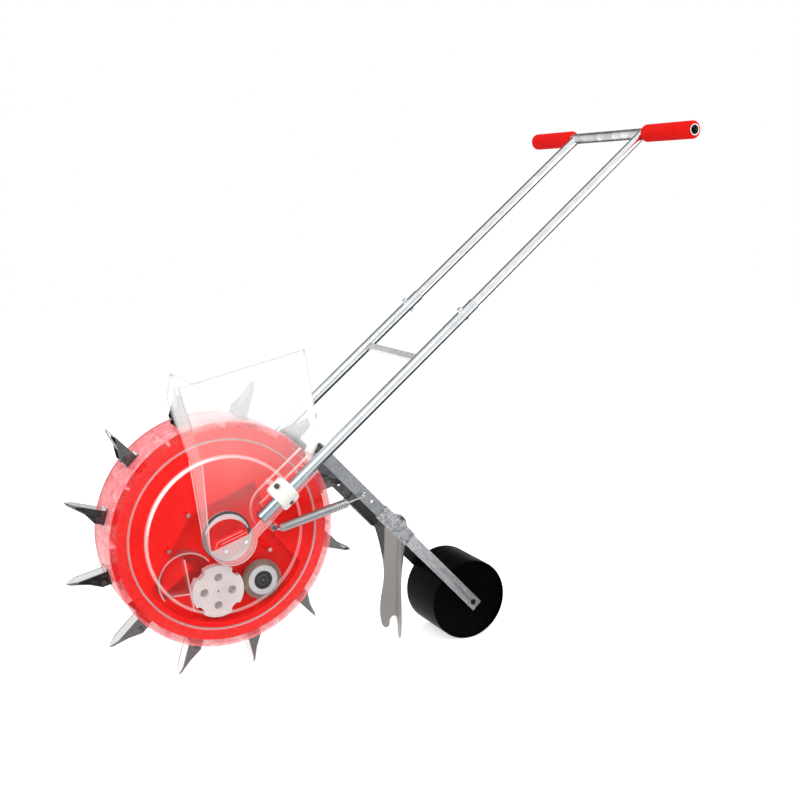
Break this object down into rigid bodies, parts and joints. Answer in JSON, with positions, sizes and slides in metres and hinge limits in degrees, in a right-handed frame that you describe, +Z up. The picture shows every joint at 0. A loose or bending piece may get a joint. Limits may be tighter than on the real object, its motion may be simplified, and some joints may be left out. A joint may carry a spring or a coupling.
{
  "type": "walk-behind seed planter",
  "caption": "Walk-behind seed planter: spiked drum with hinged duckbills, clear hopper and metering wheels, two-tube handle with foam grips, and a sprung trailing arm with a press roller.",
  "frame": {"origin": "centre of the bounding box's underside, on the ground", "axes": "+X rearwards to the handle, +Y along the drum's axis to the side away from the hopper, +Z up"},
  "size_m": [1.1708, 0.545, 1.0594],
  "materials": {
    "red_plastic": "smooth, glossy",
    "clear_plastic": "clear moulded plastic",
    "milky_plastic": "translucent white",
    "white_nylon": "satin ivory white",
    "black_rubber": "matt",
    "black_plastic": "satin black",
    "bristle": "grey-brown fibre",
    "red_foam": "matt foam",
    "galvanised_tube": "bright galvanised",
    "zinc_plate": "zinc plated, satin",
    "stainless_sheet": "bare stainless sheet",
    "dark_steel": "dark sheet steel",
    "bright_steel": "bright zinc",
    "dark_screw": "blackened",
    "spring_steel": "bright plated wire",
    "red_paint": "glossy paint",
    "bush_bronze": "sintered bronze"
  },
  "bodies": {
    "frame": {"near_cover": "clear_plastic", "seed_housing": "red_plastic", "hopper": "clear_plastic", "port_seal": "black_rubber", "seed_gate": "milky_plastic", "chute_lip": "red_plastic", "cover_screws": "bright_steel", "drop_chamber": "clear_plastic", "axle": "bright_steel", "far_bracket": "red_paint", "axle_nut": "bright_steel", "clamp_blocks": "white_nylon", "clamp_screws": "dark_screw", "lower_tubes": "galvanised_tube", "upper_tubes": "galvanised_tube", "coupling_bolts": "bright_steel", "cross_tube": "galvanised_tube", "near_grip": "red_foam", "far_grip": "red_foam", "brace": "galvanised_tube", "pivot_studs": "bright_steel", "pivot_nuts": "bright_steel", "spring_screw": "bright_steel"},
    "drum": {"drum_pan": "red_plastic", "drum_flange": "clear_plastic", "rim_segments": "clear_plastic", "ring_gear": "white_nylon", "drum_bush": "bush_bronze", "duckbill_blades": "stainless_sheet", "flap_pins": "bright_steel"},
    "metering": {"metering_wheel": "milky_plastic", "metering_shaft": "bright_steel", "metering_pinion": "white_nylon"},
    "brush": {"brush_bristles": "bristle", "brush_flange": "milky_plastic", "brush_hub": "black_plastic", "brush_pinion": "white_nylon"},
    "trailing_arm": {"near_arm_plate": "zinc_plate", "far_arm_plate": "zinc_plate", "near_arm_bar": "zinc_plate", "far_arm_bar": "zinc_plate", "arm_sleeves": "zinc_plate", "sleeve_bolts": "bright_steel", "covering_plate": "stainless_sheet", "roller_axle": "bright_steel", "tension_spring": "spring_steel"},
    "roller": {"press_roller": "black_plastic", "roller_caps": "black_plastic"},
    "flap_01": {"flap_01": "dark_steel"},
    "flap_02": {"flap_02": "dark_steel"},
    "flap_03": {"flap_03": "dark_steel"},
    "flap_04": {"flap_04": "dark_steel"},
    "flap_05": {"flap_05": "dark_steel"},
    "flap_06": {"flap_06": "dark_steel"},
    "flap_07": {"flap_07": "dark_steel"},
    "flap_08": {"flap_08": "dark_steel"},
    "flap_09": {"flap_09": "dark_steel"},
    "flap_10": {"flap_10": "dark_steel"},
    "flap_11": {"flap_11": "dark_steel"},
    "flap_12": {"flap_12": "dark_steel"}
  },
  "joints": [
    {"name": "drum_spin", "type": "hinge", "parent": "frame", "child": "drum", "pos_m": [-0.30506, 0, 0.28038], "axis": [0, -1, 0], "continuous": true},
    {"name": "metering_spin", "type": "hinge", "parent": "frame", "child": "metering", "pos_m": [-0.31551, 0, 0.16987], "axis": [0, -1, 0], "continuous": true},
    {"name": "brush_spin", "type": "hinge", "parent": "frame", "child": "brush", "pos_m": [-0.22639, 0, 0.18004], "axis": [0, -1, 0], "continuous": true},
    {"name": "arm_pivot", "type": "hinge", "parent": "frame", "child": "trailing_arm", "pos_m": [-0.12986, 0, 0.43322], "axis": [0, -1, 0], "range_deg": [0, 20], "stiffness_Nm_per_rad": 27, "springref_deg": -53.29, "deforming": ["tension_spring"]},
    {"name": "roller_spin", "type": "hinge", "parent": "trailing_arm", "child": "roller", "pos_m": [0.22046, 0, 0.0835], "axis": [0, -1, 0], "continuous": true},
    {"name": "flap_01_hinge", "type": "hinge", "parent": "drum", "child": "flap_01", "pos_m": [-0.08897, 0, 0.35484], "axis": [0, -1, 0], "range_deg": [0, 18], "stiffness_Nm_per_rad": 0.5, "springref_deg": -20.05},
    {"name": "flap_02_hinge", "type": "hinge", "parent": "drum", "child": "flap_02", "pos_m": [-0.15516, 0, 0.45291], "axis": [0, -1, 0], "range_deg": [0, 18], "stiffness_Nm_per_rad": 0.5, "springref_deg": -20.05},
    {"name": "flap_03_hinge", "type": "hinge", "parent": "drum", "child": "flap_03", "pos_m": [-0.26151, 0, 0.50475], "axis": [0, -1, 0], "range_deg": [0, 18], "stiffness_Nm_per_rad": 0.5, "springref_deg": -20.05},
    {"name": "flap_04_hinge", "type": "hinge", "parent": "drum", "child": "flap_04", "pos_m": [-0.37953, 0, 0.49647], "axis": [0, -1, 0], "range_deg": [0, 18], "stiffness_Nm_per_rad": 0.5, "springref_deg": -20.05},
    {"name": "flap_05_hinge", "type": "hinge", "parent": "drum", "child": "flap_05", "pos_m": [-0.4776, 0, 0.43028], "axis": [0, -1, 0], "range_deg": [0, 18], "stiffness_Nm_per_rad": 0.5, "springref_deg": -20.05},
    {"name": "flap_06_hinge", "type": "hinge", "parent": "drum", "child": "flap_06", "pos_m": [-0.52943, 0, 0.32393], "axis": [0, -1, 0], "range_deg": [0, 18], "stiffness_Nm_per_rad": 0.5, "springref_deg": -20.05},
    {"name": "flap_07_hinge", "type": "hinge", "parent": "drum", "child": "flap_07", "pos_m": [-0.52115, 0, 0.20591], "axis": [0, -1, 0], "range_deg": [0, 18], "stiffness_Nm_per_rad": 0.5, "springref_deg": -20.05},
    {"name": "flap_08_hinge", "type": "hinge", "parent": "drum", "child": "flap_08", "pos_m": [-0.45497, 0, 0.10784], "axis": [0, -1, 0], "range_deg": [0, 18], "stiffness_Nm_per_rad": 0.5, "springref_deg": -20.05},
    {"name": "flap_09_hinge", "type": "hinge", "parent": "drum", "child": "flap_09", "pos_m": [-0.34862, 0, 0.056], "axis": [0, -1, 0], "range_deg": [0, 18], "stiffness_Nm_per_rad": 0.5, "springref_deg": -20.05},
    {"name": "flap_10_hinge", "type": "hinge", "parent": "drum", "child": "flap_10", "pos_m": [-0.2306, 0, 0.06429], "axis": [0, -1, 0], "range_deg": [0, 18], "stiffness_Nm_per_rad": 0.5, "springref_deg": -20.05},
    {"name": "flap_11_hinge", "type": "hinge", "parent": "drum", "child": "flap_11", "pos_m": [-0.13253, 0, 0.13047], "axis": [0, -1, 0], "range_deg": [0, 18], "stiffness_Nm_per_rad": 0.5, "springref_deg": -20.05},
    {"name": "flap_12_hinge", "type": "hinge", "parent": "drum", "child": "flap_12", "pos_m": [-0.08069, 0, 0.23682], "axis": [0, -1, 0], "range_deg": [0, 18], "stiffness_Nm_per_rad": 0.5, "springref_deg": -20.05}
  ],
  "couplings": [
    {"joint": "metering_spin", "follows": "drum_spin", "ratio": 3},
    {"joint": "brush_spin", "follows": "drum_spin", "ratio": 4.2692}
  ]
}
